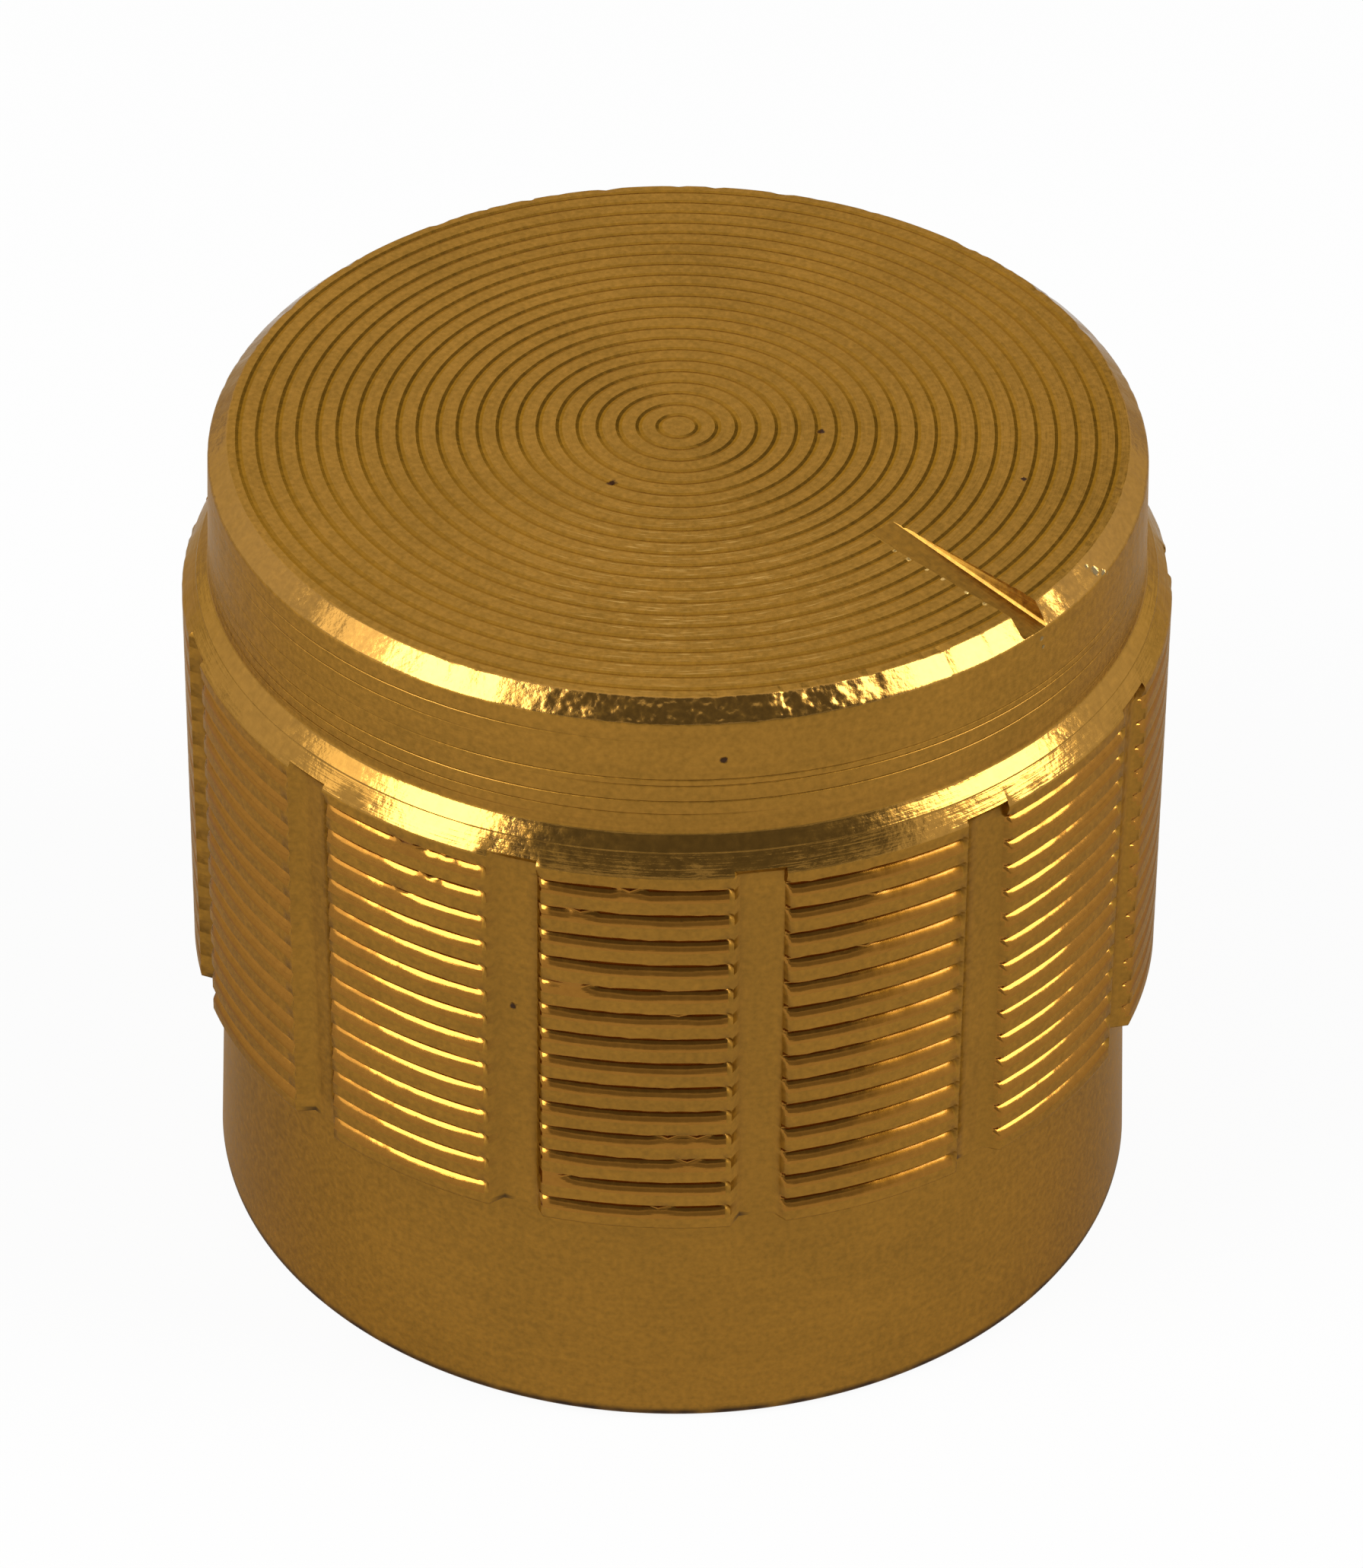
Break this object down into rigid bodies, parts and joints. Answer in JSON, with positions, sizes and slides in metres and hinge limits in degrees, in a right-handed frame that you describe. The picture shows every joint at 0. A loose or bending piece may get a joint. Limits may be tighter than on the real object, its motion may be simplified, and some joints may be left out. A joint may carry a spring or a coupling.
{
  "type": "control knob",
  "caption": "Small gold anodised turned knob with a flat face, pointer notch, slotted and grooved grip and plain skirt, pressed on a serrated shaft.",
  "frame": {"origin": "Centre of the open end, in the plane of the rim that faces the panel.", "axes": "+Z runs along the shaft from the rim to the top face, +X is the side that the pointer notch faces."},
  "size_m": [0.017, 0.017, 0.015],
  "materials": {
    "cap": "gold anodised over a satin turned surface, bright where the chamfer, bevel and grooves were cut",
    "shaft_insert": "black moulded plastic"
  },
  "bodies": {
    "root": {"cap": "cap", "shaft_insert": "shaft_insert"}
  },
  "joints": []
}
